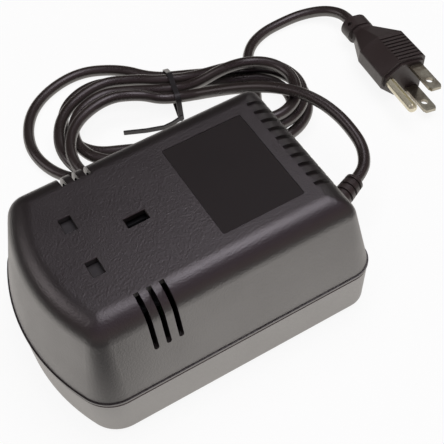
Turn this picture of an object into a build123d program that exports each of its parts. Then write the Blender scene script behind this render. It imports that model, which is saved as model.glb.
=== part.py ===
from build123d import *
import math
import os

# Mains voltage converter with a British three-pin socket, its lead in a tied hank, and an
# American three-pin plug. Millimetres, +Z up, origin at the centre of the case on the table,
# +X along the case towards the lead.

os.makedirs("parts", exist_ok=True)

# Case sizes
case_length = 130.1
case_width = 87.2
case_height = 62.0
seam_height = 23.9
foot_proud = 1.0
wall = 2.4
end_bulge_radius = 81.6
socket_corner_radius = 14.6
lead_top_corner = 2.65
upper_draft = 11.2
top_edge_radius = 10.2
seam_rim_proud = 0.3
seam_rim_height = 1.1
seam_bevel = 0.2
seam_gap = 0.9
upper_overhang = 0.3
lower_edge_bevel = 0.4
lower_draft = 3.0
lower_wall = 3.3
bottom_edge_radius = 3.0
lip_height = 2.0
lip_thickness = 1.1
lip_clearance = 0.2

# Clearances
seat_gap = 0.2
fit_gap = 0.05
slide_gap = 0.3

# Ends, sides, floor and ceiling that the other pieces are placed from
case_half_length = case_length / 2
case_half_width = case_width / 2
case_bottom = foot_proud
floor_top = case_bottom + wall
ceiling = case_height - wall

# Socket apertures, to the British standard
aperture_spacing = 22.2
pin_row_room = 29.55
pin_row_x = -case_half_length + pin_row_room
earth_x = pin_row_x + aperture_spacing
pin_offset_y = aperture_spacing / 2
pin_slot_x = 4.8
pin_slot_y = 7.2
earth_slot_x = 8.8
earth_slot_y = 4.6
slot_edge_bevel = 0.2

# Rating plate recess
label_room = 38.35
label_center_x = case_half_length - label_room
label_length = 34.5
label_width = 46.0
label_recess = 0.5
label_thickness = 0.4
label_side_gap = 0.15
label_corner = 1.0

# Ventilation slots
side_slot_room = 41.45
side_slot_reach = 15.6
side_slot_drop = 20.5
side_slot_pitch = 5.0
side_slot_count = 3
side_slot_width = 2.0
side_slot_center_x = -case_half_length + side_slot_room
side_slot_start_y = case_half_width - side_slot_reach
side_slot_bottom = case_height - side_slot_drop
end_groove_center_y = 2.0
end_groove_pitch = 5.2
end_groove_count = 10
end_groove_width = 2.1
end_groove_depth = 1.7
end_groove_reach = 16.05
end_groove_drop = 12.0
end_groove_start_x = case_half_length - end_groove_reach
end_groove_bottom = case_height - end_groove_drop

# Case screws and feet
upper_boss_radius = 3.6
boss_space = 1.0
socket_end_screw_room = 15.55
lead_end_screw_room = 14.05
lead_end_screw_side_room = 15.6
lead_end_screw = (
    case_half_length - lead_end_screw_room,
    case_half_width - lead_end_screw_side_room,
)
lower_post_radius = 4.8
screw_radius = 1.45
screw_hole_gap = 0.1
screw_length = 18.0
screw_head_radius = 2.9
screw_head_height = 2.0
screw_recess_radius = 3.2
screw_recess_roof = 7.9
screw_recess_top = seam_height - screw_recess_roof
cross_slot_depth = 1.0
cross_slot_width = 0.8
cross_slot_share = 0.65
foot_radius = 4.6
foot_thickness = 2.0
foot_end_room = 23.05
foot_side_room = 11.1
foot_x = case_half_length - foot_end_room
foot_y = case_half_width - foot_side_room

# Transformer
core_side_room = 13.6
core_head_room = 2.0
core_floor_room = 3.0
socket_room = 58.05
output_wire_gap = 3.4
lead_room = 13.45
bobbin_overhang = 9.6
core_joint_gap = 0.05
bobbin_leg_gap = 0.2
bobbin_wall = 1.2
bobbin_window_gap = 0.3
layer_gap = 0.1
primary_share = 0.515
coil_margin = 0.5
tape_thickness = 0.4
winding_corner = 1.0
frame_sheet = 1.2
frame_inset = 4.0
frame_flange = 7.3
frame_screw_inset = 4.0
frame_boss_radius = 3.2
frame_screw_radius = 1.4
frame_screw_length = 4.0
frame_screw_head_radius = 2.5
frame_screw_head_height = 1.6
pad_rib_width = 3.0
pad_rib_inset = 4.5
pad_rib_shortfall = 4.0
fuse_radius = 2.0
fuse_length = 9.0
tag_width = 2.4
tag_thickness = 0.8
tag_height = 3.9
tag_inset = 1.8
input_tag_y = (-12.0, -8.0)
output_tag_y = (-8.0, 8.0)

# Transformer sizes that follow from the room in the case
core_rest = floor_top + core_floor_room
core_width = case_width - 2 * core_side_room
core_limb = core_width / 6
core_window_height = ceiling - core_head_room - frame_sheet - core_rest - 2 * core_limb
core_stack = case_length - socket_room - output_wire_gap - 2 * bobbin_overhang - lead_room
core_center_x = case_half_length - lead_room - bobbin_overhang - core_stack / 2
bobbin_reach_x = core_stack / 2 + bobbin_overhang
bobbin_reach_y = core_width / 2 - core_limb - bobbin_window_gap
coil_room = bobbin_reach_y - core_limb - bobbin_leg_gap - bobbin_wall - coil_margin
coil_room -= 2 * tape_thickness + 4 * layer_gap
primary_thickness = primary_share * coil_room
secondary_thickness = coil_room - primary_thickness
frame_width = core_stack - 2 * frame_inset
frame_screw_x = frame_width / 2 - frame_screw_inset
pad_rib_x = core_stack / 2 - pad_rib_inset
pad_rib_length = core_width - pad_rib_shortfall

# Socket carrier, contacts and shutter
carrier_end_room = 14.55
carrier_left = -case_half_length + carrier_end_room
carrier_right = -case_half_length + socket_room
carrier_width = 38.8
carrier_depth = 23.6
carrier_head_room = 2.8
carrier_bottom = ceiling - carrier_depth
carrier_top = ceiling - carrier_head_room
carrier_rail = 2.1
rail_head_room = 1.4
rail_top = ceiling - rail_head_room
carrier_end_wall = 1.3
channel_left = carrier_left + carrier_end_wall
pocket_roof = 2.3
contact_leaf = 0.7
contact_grip = 3.9
contact_width = 6.4
contact_recess = 3.8
contact_lift = 2.0
contact_top = carrier_top - contact_recess
contact_bridge = carrier_bottom + contact_lift
contact_tab_length = 3.4
earth_contact_recess = 9.3
earth_contact_top = carrier_top - earth_contact_recess
earth_contact_width = 8.2
ear_reach = 8.6
ear_length = 8.0
ear_drop = 9.3
ear_bottom = carrier_top - ear_drop
ear_thickness = 2.3
ear_screw_setback = 11.5
ear_screw_reach = 5.1
ear_screw_x = pin_row_x + ear_screw_setback
ear_screw_y = carrier_width / 2 + ear_screw_reach
carrier_boss_radius = 3.2
carrier_screw_radius = 1.2
carrier_screw_length = 8.5
carrier_screw_head_radius = 2.4
carrier_screw_head_height = 1.8
shutter_head_room = 0.7
shutter_end_reach = 7.7
shutter_earth_reach = 3.0
shutter_bottom = carrier_top + seat_gap
shutter_top = ceiling - shutter_head_room
shutter_left = pin_row_x - shutter_end_reach
shutter_right = pin_row_x + shutter_earth_reach
shutter_width = 34.0
shutter_travel = 5.6
bridge_width = 8.0
ramp_length = 6.0
ramp_bridge = 2.6
ramp_depth = 7.8
ramp_start_x = earth_x - earth_slot_x / 2 - seat_gap
ramp_end_x = ramp_start_x + ramp_length
ramp_back_x = ramp_start_x - ramp_bridge
ramp_half_width = 1.8
ramp_bottom = carrier_top - ramp_depth
ramp_toe = 1.0
spring_slot_half_width = 1.55
spring_peg_setback = 4.6
spring_peg_thickness = 1.4
spring_peg_left = pin_row_x + spring_peg_setback
spring_peg_right = spring_peg_left + spring_peg_thickness
spring_peg_half_width = 1.2
spring_diameter = 2.6
spring_wire = 0.35
spring_curls = 7

# Lead, hank and tie
cord_diameter = 5.2
boot_y = -10.0
boot_lift = 0.1
boot_height = seam_height + boot_lift
boot_hole_radius = 4.3
boot_flange_radius = 6.5
boot_flange_thickness = 2.0
boot_neck_room = 8.05
boot_neck_reach = 2.55
boot_inner_end = case_half_length - boot_neck_room
boot_bend_x = case_half_length + boot_neck_reach
boot_angle = 24.0
boot_length = 15.8
boot_root_radius = 4.7
boot_tip_radius = 4.0
boot_tip_bevel = 0.9
boot_rib_count = 4
boot_rib_depth = 0.85
boot_rib_width = 1.2
boot_rib_pitch = 3.5
boot_rib_start = 1.9

# Each point of the lead from the boot's tip to the hank, from the hank's centre on the table
lead_first_run = 5.5
lead_route = [
    (49.4, -80.8, 24.5),
    (52.4, -74.1, 25.3),
    (53.0, -65.7, 26.5),
    (52.4, -56.6, 27.7),
    (50.0, -46.3, 28.4),
    (45.0, -35.3, 28.1),
    (37.4, -24.4, 25.7),
    (28.3, -13.4, 20.5),
    (19.6, -3.4, 14.2),
]
lead_last_run = 9.5
lead_last_drop = 0.9

# Each point of the lead from the hank to the plug, from the hank's centre on the table
tail_first_run = 12.0
tail_route = [
    (23.7, -22.6, 2.7),
    (34.2, -17.4, 2.7),
    (41.6, -7.6, 2.7),
    (45.7, 4.2, 2.7),
    (49.5, 14.6, 2.7),
    (56.6, 22.6, 2.7),
    (66.3, 26.9, 2.7),
    (76.7, 27.7, 2.8),
    (87.0, 26.8, 3.6),
    (96.1, 22.8, 5.0),
    (101.2, 17.2, 6.5),
]
tail_last_run = 7.6

# Hank: turns lie on levels one step apart, pulled together under the tie
hank_end_room = 23.05
hank_side_room = 40.4
hank_center = (case_half_length - hank_end_room, case_half_width + hank_side_room)
hank_angle = -25.0
level_step = 5.9
table_gap = 0.1
table_level = cord_diameter / 2 + table_gap
tie_station = 2.0
tie_slant = 10.5
tie_pivot = 17.0
tie_lift = 0.9
strand_step = 6.1
tie_near_strand = 8.0
tie_middle_step = 13.6
tie_far_step = 20.0
left_station = -18.0
right_station = 38.0
hank_exit = (8.0, -15.0)

# Left half turns: far-left reach, centre across, radius, level
left_turns = [
    (-45.0, -19.0, 27.0, 2),
    (-44.3, -4.5, 21.0, 1),
    (-51.0, -6.7, 30.3, 1),
    (-66.0, 3.5, 34.5, 0),
    (-50.0, 7.3, 21.5, 0),
]
# Right half turns: far-right reach, centre across, radius, level
right_turns = [
    (57.0, -3.0, 18.2, 3),
    (60.5, -0.5, 20.5, 2),
    (62.5, -1.0, 23.0, 1),
    (55.5, -1.0, 17.2, 1),
]
# Strands under the tie: place across, level
tie_strands = [
    (tie_near_strand, 1),
    (tie_near_strand + strand_step, 1),
    (tie_near_strand + 2 * strand_step, 1),
    (tie_near_strand + tie_far_step, 0),
    (tie_near_strand + tie_middle_step, 0),
]
tie_band = 0.6
tie_gap = 0.3
tie_spread = 1.05
tie_entry_rise = 0.4
tie_width = 2.4
tie_tail_height = 2.2
tie_tail_thickness = 0.9
tie_twist_radius = 1.0
tie_twist_height = 3.2
tie_twist_across = 3.2
tie_tail_route = [
    (0.2, 0.2),
    (-3.6, -1.6),
    (-12.0, -2.4),
    (-22.0, -2.4),
]

# Plug: nose centre between the blades, from the hank's centre, and the way it lies
plug_nose_offset = (104.19, -42.83, 10.27)
plug_yaw = -95.64
plug_pitch = 3.72
plug_roll = -7.27
plug_center_side = -5.8
plug_flat_side = 5.6
plug_slope_side = -8.0
plug_earth_side = -16.4
plug_earth_half_height = 3.2
plug_face_lift = 0.5
plug_face_height = 19.6
plug_shoulder_lift = 0.9
plug_shoulder_height = 18.0
plug_shoulder_back = 21.5
plug_throat_side = -1.0
plug_throat_slope_side = -7.6
plug_throat_earth_side = -10.8
plug_throat_half_height = 2.2
plug_throat_height = 9.6
plug_throat_back = 36.0
plug_neck_back = 38.0
plug_collar_width = 13.6
plug_collar_height = 11.0
plug_collar_back = 45.0
plug_corner = 1.5
plug_plateau = 1.2
plug_plateau_inset = 1.6
plug_rib_count = 8
plug_rib_pitch = 2.3
plug_rib_groove = 0.9
plug_rib_depth = 0.7
plug_rib_start = 3.0
plug_eye_radius = 0.9
plug_eye_side = -10.6
plug_eye_back = 41.5
blade_spacing = 12.7
blade_width = 6.35
blade_thickness = 1.5
blade_length = 17.8
blade_root = 8.0
blade_hole_radius = 1.7
blade_hole_distance = 11.9
blade_tip_taper = 1.6
ground_offset = 11.9
ground_radius = 2.38
ground_root_radius = 2.0
ground_length = 20.4
ground_groove_width = 0.9
ground_groove_depth = 1.3
ground_tip_share = 0.85

# Wires
wire_radius = 0.95
wire_bend = 2.0
wire_side_room = 7.4
wire_wall_y = wire_side_room - case_half_width
wire_floor_height = 12.0
wire_run_lift = 1.1
supply_wire_lift = 1.5
earth_wire_drop = 2.0
supply_wire_room = 3.1
socket_wire_drop = 6.0
post_room_along = 2.5
post_room_across = 2.0

# Cord arcs and the spacing on which the hank's own gap is measured
arc_share = 0.45
gap_spacing = 2.5
gap_skip = 4

# Heights worked out from the sizes above
core_back_top = core_rest + core_limb
core_window_top = core_back_top + core_window_height
core_top = core_window_top + core_limb
bobbin_bottom = core_back_top + bobbin_window_gap
bobbin_top = core_window_top - bobbin_window_gap
wire_run_height = bobbin_top + wire_run_lift
fuse_height = (bobbin_bottom + bobbin_top) / 2
side_wall_inset = seam_rim_proud + wall / math.cos(math.radians(upper_draft))
lead_corner_radius = lead_top_corner + seam_rim_proud
lead_corner_radius += (case_height - seam_height) * math.tan(math.radians(upper_draft))
socket_end_screw = (
    -case_half_length + socket_end_screw_room,
    carrier_width / 2 + upper_boss_radius + boss_space,
)
flange_outer_x = case_half_length - side_wall_inset - seat_gap


def case_plan(inset):
    """The case's plan, drawn in by an inset: straight sides, a bowed end and a straight end."""
    sagitta = end_bulge_radius - math.sqrt(end_bulge_radius**2 - case_half_width**2)
    left = -case_half_length
    with BuildSketch() as plan:
        with BuildLine():
            Polyline(
                (left + sagitta, -case_half_width),
                (case_half_length, -case_half_width),
                (case_half_length, case_half_width),
                (left + sagitta, case_half_width),
            )
            ThreePointArc((left + sagitta, case_half_width), (left, 0), (left + sagitta, -case_half_width))
        make_face()
        corners = plan.vertices().sort_by(Axis.X)
        fillet(corners[0:2], radius=socket_corner_radius)
        corners = plan.vertices().sort_by(Axis.X)
        fillet(corners[-2:], radius=lead_corner_radius)
        if inset:
            offset(amount=-inset, kind=Kind.ARC)
    return plan.sketch


def screw_places():
    """Plan places of the four case screws."""
    return [(x, side * y) for x, y in (socket_end_screw, lead_end_screw) for side in (-1, 1)]


def corner_places():
    """Plan places of the four feet."""
    return [(x, y) for x in (-foot_x, foot_x) for y in (-foot_y, foot_y)]


def upper_body(inset, top, bottom, edge_radius):
    """A solid of the upper shell's outside, drawn in by an inset."""
    with BuildPart() as body:
        rise = (bottom - seam_height) * math.tan(math.radians(upper_draft))
        with BuildSketch(Plane.XY.offset(bottom)):
            add(case_plan(inset + rise))
        extrude(amount=top - bottom, taper=upper_draft)
        top_face = body.faces().sort_by(Axis.Z)[-1]
        fillet(top_face.edges(), radius=edge_radius)
    return body.part


# Upper case
upper_outside = upper_body(seam_rim_proud, case_height, seam_height, top_edge_radius)
upper_inside = upper_body(side_wall_inset, ceiling, seam_height - 1, top_edge_radius - wall)
boss_limit = upper_body(
    seam_rim_proud + wall / 2, case_height - wall / 2, seam_height, top_edge_radius - wall / 2
)
groove_floor = upper_body(
    seam_rim_proud + end_groove_depth,
    case_height - end_groove_depth,
    seam_height,
    top_edge_radius - end_groove_depth,
)

with BuildPart() as end_grooves:
    with Locations((end_groove_start_x, end_groove_center_y, end_groove_bottom)):
        with GridLocations(1, end_groove_pitch, 1, end_groove_count):
            Box(
                case_length,
                end_groove_width,
                case_height,
                align=(Align.MIN, Align.CENTER, Align.MIN),
            )
    add(upper_outside, mode=Mode.INTERSECT)
    add(groove_floor, mode=Mode.SUBTRACT)

# Bosses for the case screws and the socket carrier, ending inside the shell's thickness
with BuildPart() as upper_bosses:
    with BuildSketch(Plane.XY.offset(seam_height + seat_gap)):
        with Locations(*screw_places()):
            Circle(upper_boss_radius)
            Circle(screw_radius + screw_hole_gap, mode=Mode.SUBTRACT)
    extrude(amount=ceiling - seam_height)
    with BuildSketch(Plane.XY.offset(ear_bottom + ear_thickness + seat_gap)):
        with Locations((ear_screw_x, -ear_screw_y), (ear_screw_x, ear_screw_y)):
            Circle(carrier_boss_radius)
            Circle(carrier_screw_radius + screw_hole_gap, mode=Mode.SUBTRACT)
    extrude(amount=ceiling - ear_bottom - ear_thickness)
    add(boss_limit, mode=Mode.INTERSECT)

with BuildPart() as upper_case:
    add(upper_outside)

    # Rim that stands proud round the seam
    with BuildSketch(Plane.XY.offset(seam_height)):
        add(case_plan(0))
    extrude(amount=seam_rim_height)
    chamfer(upper_case.faces().sort_by(Axis.Z)[0].edges(), length=seam_bevel)
    add(upper_inside, mode=Mode.SUBTRACT)
    add(end_grooves.part, mode=Mode.SUBTRACT)
    add(upper_bosses.part)

    # Socket apertures with a small bevel
    with BuildSketch(Plane.XY.offset(case_height)) as apertures:
        with Locations((pin_row_x, -pin_offset_y), (pin_row_x, pin_offset_y)):
            Rectangle(pin_slot_x, pin_slot_y)
        with Locations((earth_x, 0)):
            Rectangle(earth_slot_x, earth_slot_y)
    extrude(amount=-2 * wall, mode=Mode.SUBTRACT)
    aperture_edges = upper_case.edges().filter_by_position(
        Axis.Z, case_height - 0.01, case_height + 0.01
    )
    aperture_edges = [edge for edge in aperture_edges if edge.length < aperture_spacing / 2]
    aperture_edges = [
        edge for edge in aperture_edges if edge.center().X < earth_x + earth_slot_x
    ]
    chamfer(aperture_edges, length=slot_edge_bevel)

    # Recess for the rating plate
    with BuildSketch(Plane.XY.offset(case_height)):
        with Locations((label_center_x, 0)):
            RectangleRounded(label_length, label_width, label_corner)
    extrude(amount=-label_recess, mode=Mode.SUBTRACT)

    # Ventilation slots over the two long top edges
    slot_height = case_height - side_slot_bottom + side_slot_width
    for side in (-1, 1):
        with BuildSketch(Plane.XZ.offset(-side * case_half_width - side)):
            with Locations((side_slot_center_x, side_slot_bottom + slot_height / 2)):
                with GridLocations(side_slot_pitch, 1, side_slot_count, 1):
                    SlotOverall(slot_height, side_slot_width, rotation=90)
        extrude(amount=side * (case_half_width + 1 - side_slot_start_y), mode=Mode.SUBTRACT)

    # Hole and pocket for the lead's strain relief, shared with the lower case
    with BuildSketch(Plane.YZ.offset(boot_inner_end)):
        with Locations((boot_y, boot_height)):
            Circle(boot_hole_radius)
    extrude(amount=case_half_length, mode=Mode.SUBTRACT)
    with BuildSketch(Plane.YZ.offset(boot_inner_end)):
        with Locations((boot_y, boot_height)):
            Circle(boot_flange_radius + seat_gap)
    extrude(amount=flange_outer_x + seat_gap - boot_inner_end, mode=Mode.SUBTRACT)
upper_case.part.label = "upper_case"
export_step(upper_case.part, "parts/upper_case.step")

# Lower case
lower_height = seam_height - seam_gap - case_bottom
with BuildPart() as lower_case:
    with BuildSketch(Plane.XY.offset(seam_height - seam_gap)):
        add(case_plan(upper_overhang))
    extrude(amount=-lower_height, taper=lower_draft)
    fillet(lower_case.faces().sort_by(Axis.Z)[0].edges(), radius=bottom_edge_radius)
    chamfer(lower_case.faces().sort_by(Axis.Z)[-1].edges(), length=lower_edge_bevel)
    with BuildSketch(Plane.XY.offset(seam_height - seam_gap)):
        add(case_plan(upper_overhang + lower_wall))
    extrude(amount=-(seam_height - seam_gap - floor_top), taper=lower_draft, mode=Mode.SUBTRACT)

    # Locating lip that stands inside the upper case
    lip_inset = side_wall_inset + lip_clearance
    lip_inset += lip_height * math.tan(math.radians(upper_draft))
    with BuildSketch(Plane.XY.offset(seam_height + lip_height)):
        add(case_plan(lip_inset))
        add(case_plan(lip_inset + lip_thickness), mode=Mode.SUBTRACT)
    extrude(amount=-(lip_height + seam_gap + 3 * lip_thickness))

    # Posts for the case screws, bosses and ribs for the transformer
    with BuildSketch(Plane.XY.offset(case_bottom)):
        with Locations(*screw_places()):
            Circle(lower_post_radius)
    extrude(amount=seam_height - case_bottom)
    with BuildSketch(Plane.XY.offset(case_bottom)):
        with Locations(*screw_places()):
            Circle(screw_recess_radius)
    extrude(amount=screw_recess_top - case_bottom, mode=Mode.SUBTRACT)
    with BuildSketch(Plane.XY.offset(case_bottom)):
        with Locations(*screw_places()):
            Circle(screw_radius + screw_hole_gap)
    extrude(amount=case_height, mode=Mode.SUBTRACT)
    frame_screw_y = core_width / 2 + frame_sheet + frame_flange / 2
    with BuildSketch(Plane.XY.offset(floor_top - wall / 2)):
        with Locations((core_center_x, 0)):
            with GridLocations(2 * frame_screw_x, 2 * frame_screw_y, 2, 2):
                Circle(frame_boss_radius)
                Circle(frame_screw_radius + screw_hole_gap, mode=Mode.SUBTRACT)
            with GridLocations(2 * pad_rib_x, 1, 2, 1):
                Rectangle(pad_rib_width, pad_rib_length)
    extrude(amount=core_rest - floor_top + wall / 2)
    with BuildSketch(Plane.XY.offset(core_rest)):
        with Locations((core_center_x, 0)):
            with GridLocations(2 * frame_screw_x, 2 * frame_screw_y, 2, 2):
                Circle(frame_screw_radius + screw_hole_gap)
    extrude(amount=-frame_screw_length - seat_gap, mode=Mode.SUBTRACT)

    # Pockets for the feet
    with BuildSketch(Plane.XY.offset(case_bottom)):
        with Locations(*corner_places()):
            Circle(foot_radius + seat_gap)
    extrude(amount=foot_thickness - foot_proud, mode=Mode.SUBTRACT)

    # Hole and pocket for the lead's strain relief
    with BuildSketch(Plane.YZ.offset(boot_inner_end)):
        with Locations((boot_y, boot_height)):
            Circle(boot_hole_radius)
    extrude(amount=case_half_length, mode=Mode.SUBTRACT)
    with BuildSketch(Plane.YZ.offset(boot_inner_end)):
        with Locations((boot_y, boot_height)):
            Circle(boot_flange_radius + seat_gap)
    extrude(amount=flange_outer_x + seat_gap - boot_inner_end, mode=Mode.SUBTRACT)
lower_case.part.label = "lower_case"
export_step(lower_case.part, "parts/lower_case.step")

# Rating plate
with BuildPart() as rating_label:
    with BuildSketch(Plane.XY.offset(case_height - label_recess)):
        with Locations((label_center_x, 0)):
            RectangleRounded(
                label_length - 2 * label_side_gap,
                label_width - 2 * label_side_gap,
                label_corner - label_side_gap,
            )
    extrude(amount=label_thickness)
rating_label.part.label = "rating_label"
export_step(rating_label.part, "parts/rating_label.step")

# Rubber feet
with BuildPart() as rubber_feet:
    with BuildSketch(Plane.XY):
        with Locations(*corner_places()):
            Circle(foot_radius)
    extrude(amount=foot_thickness)
    chamfer(rubber_feet.faces().filter_by_position(Axis.Z, -0.01, 0.01).edges(), length=foot_proud / 2)
rubber_feet.part.label = "rubber_feet"
export_step(rubber_feet.part, "parts/rubber_feet.step")


def screws(places, head_plane, sign, shaft, length, head, head_height):
    """Cross-head screws whose shafts run from the head plane along sign times Z."""
    with BuildPart() as group:
        with BuildSketch(Plane.XY.offset(head_plane)):
            with Locations(*places):
                Circle(head)
        extrude(amount=-sign * head_height)
        with BuildSketch(Plane.XY.offset(head_plane)):
            with Locations(*places):
                Circle(shaft)
        extrude(amount=sign * length)
        with BuildSketch(Plane.XY.offset(head_plane - sign * head_height)):
            with Locations(*places):
                Rectangle(2 * cross_slot_share * head, cross_slot_width)
                Rectangle(cross_slot_width, 2 * cross_slot_share * head)
        extrude(amount=sign * cross_slot_depth, mode=Mode.SUBTRACT)
    return group.part


case_screws = screws(
    screw_places(),
    screw_recess_top,
    1,
    screw_radius,
    screw_length,
    screw_head_radius,
    screw_head_height,
)
case_screws.label = "case_screws"
export_step(case_screws, "parts/case_screws.step")

# Transformer core
stack_plane = Plane.YZ.offset(core_center_x - core_stack / 2)
half_core = core_width / 2
with BuildPart() as core_e_laminations:
    with BuildSketch(stack_plane):
        with Locations((0, core_rest)):
            Rectangle(core_width, core_limb, align=(Align.CENTER, Align.MIN))
        with Locations((0, core_back_top)):
            Rectangle(2 * core_limb, core_window_height, align=(Align.CENTER, Align.MIN))
        with Locations((-half_core, core_back_top), (half_core - core_limb, core_back_top)):
            Rectangle(core_limb, core_window_height, align=(Align.MIN, Align.MIN))
    extrude(amount=core_stack)
core_e_laminations.part.label = "core_e_laminations"
export_step(core_e_laminations.part, "parts/core_e_laminations.step")

with BuildPart() as core_i_laminations:
    with BuildSketch(stack_plane):
        with Locations((0, core_window_top + core_joint_gap)):
            Rectangle(core_width, core_limb - core_joint_gap, align=(Align.CENTER, Align.MIN))
    extrude(amount=core_stack)
core_i_laminations.part.label = "core_i_laminations"
export_step(core_i_laminations.part, "parts/core_i_laminations.step")

# Bobbin and windings round the middle leg
leg_x = core_stack / 2 + bobbin_leg_gap
leg_y = core_limb + bobbin_leg_gap


def coil_layer(inner, thickness, bottom, top):
    """A rounded sleeve round the middle leg, from an inner distance outwards."""
    outer = inner + thickness
    with BuildPart() as sleeve:
        with BuildSketch(Plane.XY.offset(bottom)):
            with Locations((core_center_x, 0)):
                RectangleRounded(2 * (leg_x + outer), 2 * (leg_y + outer), winding_corner + outer)
                RectangleRounded(
                    2 * (leg_x + inner), 2 * (leg_y + inner), winding_corner + inner, mode=Mode.SUBTRACT
                )
        extrude(amount=top - bottom)
    return sleeve.part


with BuildPart() as coil_bobbin:
    with BuildSketch(Plane.XY.offset(bobbin_bottom)):
        with Locations((core_center_x, 0)):
            Rectangle(2 * bobbin_reach_x, 2 * bobbin_reach_y)
    extrude(amount=bobbin_wall)
    with BuildSketch(Plane.XY.offset(bobbin_top)):
        with Locations((core_center_x, 0)):
            Rectangle(2 * bobbin_reach_x, 2 * bobbin_reach_y)
    extrude(amount=-bobbin_wall)
    with BuildSketch(Plane.XY.offset(bobbin_bottom)):
        with Locations((core_center_x, 0)):
            RectangleRounded(
                2 * (leg_x + bobbin_wall), 2 * (leg_y + bobbin_wall), winding_corner + bobbin_wall
            )
    extrude(amount=bobbin_top - bobbin_bottom)
    with BuildSketch(Plane.XY.offset(bobbin_bottom)):
        with Locations((core_center_x, 0)):
            Rectangle(2 * leg_x, 2 * leg_y)
    extrude(amount=bobbin_top - bobbin_bottom, mode=Mode.SUBTRACT)
coil_bobbin.part.label = "coil_bobbin"
export_step(coil_bobbin.part, "parts/coil_bobbin.step")

coil_bottom = bobbin_bottom + bobbin_wall + layer_gap
coil_top = bobbin_top - bobbin_wall - layer_gap
primary_inner = bobbin_wall + layer_gap
inner_tape = primary_inner + primary_thickness + layer_gap
secondary_inner = inner_tape + tape_thickness + layer_gap
outer_tape = secondary_inner + secondary_thickness + layer_gap
coil_reach = leg_x + outer_tape + tape_thickness

primary_winding = coil_layer(primary_inner, primary_thickness, coil_bottom, coil_top)
primary_winding.label = "primary_winding"
export_step(primary_winding, "parts/primary_winding.step")

secondary_winding = coil_layer(secondary_inner, secondary_thickness, coil_bottom, coil_top)
secondary_winding.label = "secondary_winding"
export_step(secondary_winding, "parts/secondary_winding.step")

with BuildPart() as winding_tape:
    add(coil_layer(inner_tape, tape_thickness, coil_bottom, coil_top))
    add(coil_layer(outer_tape, tape_thickness, coil_bottom, coil_top))
winding_tape.part.label = "winding_tape"
export_step(winding_tape.part, "parts/winding_tape.step")

# Clamping frame over the core
frame_inner = half_core + layer_gap
frame_outer = frame_inner + frame_sheet
frame_reach = frame_outer + frame_flange
with BuildPart() as transformer_frame:
    with BuildSketch(Plane.YZ.offset(core_center_x - frame_width / 2)):
        with Locations((0, core_top)):
            Rectangle(2 * frame_outer, frame_sheet, align=(Align.CENTER, Align.MIN))
        for side in (-1, 1):
            with Locations((side * (frame_inner + frame_sheet / 2), core_rest)):
                Rectangle(frame_sheet, core_top - core_rest, align=(Align.CENTER, Align.MIN))
            with Locations((side * (frame_inner + frame_reach) / 2, core_rest)):
                Rectangle(frame_reach - frame_inner, frame_sheet, align=(Align.CENTER, Align.MIN))
    extrude(amount=frame_width)
    with BuildSketch(Plane.XY.offset(core_rest)):
        with Locations((core_center_x, 0)):
            with GridLocations(2 * frame_screw_x, 2 * frame_screw_y, 2, 2):
                Circle(frame_screw_radius + screw_hole_gap)
    extrude(amount=frame_sheet, mode=Mode.SUBTRACT)
transformer_frame.part.label = "transformer_frame"
export_step(transformer_frame.part, "parts/transformer_frame.step")

frame_screw_places = [
    (core_center_x + dx * frame_screw_x, dy * frame_screw_y) for dx in (-1, 1) for dy in (-1, 1)
]
frame_screws = screws(
    frame_screw_places,
    core_rest + frame_sheet,
    -1,
    frame_screw_radius,
    frame_screw_length + frame_sheet,
    frame_screw_head_radius,
    frame_screw_head_height,
)
frame_screws.label = "frame_screws"
export_step(frame_screws, "parts/frame_screws.step")

# Thermal fuse against the coil's lead end
fuse_x = core_center_x + coil_reach + fuse_radius + layer_gap
with BuildPart() as thermal_fuse:
    with BuildSketch(Plane.XZ.offset(-fuse_length / 2)):
        with Locations((fuse_x, fuse_height)):
            Circle(fuse_radius)
    extrude(amount=fuse_length)
    chamfer(thermal_fuse.edges(), length=fuse_radius / 4)
thermal_fuse.part.label = "thermal_fuse"
export_step(thermal_fuse.part, "parts/thermal_fuse.step")

# Solder tags on the bobbin's upper flange
input_tag_x = core_center_x + bobbin_reach_x - tag_inset
output_tag_x = core_center_x - bobbin_reach_x + tag_inset
tag_places = [(input_tag_x, y) for y in input_tag_y] + [(output_tag_x, y) for y in output_tag_y]
with BuildPart() as solder_tags:
    with BuildSketch(Plane.XY.offset(bobbin_top)):
        with Locations(*tag_places):
            Rectangle(tag_thickness, tag_width)
    extrude(amount=tag_height)
solder_tags.part.label = "solder_tags"
export_step(solder_tags.part, "parts/solder_tags.step")

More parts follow.
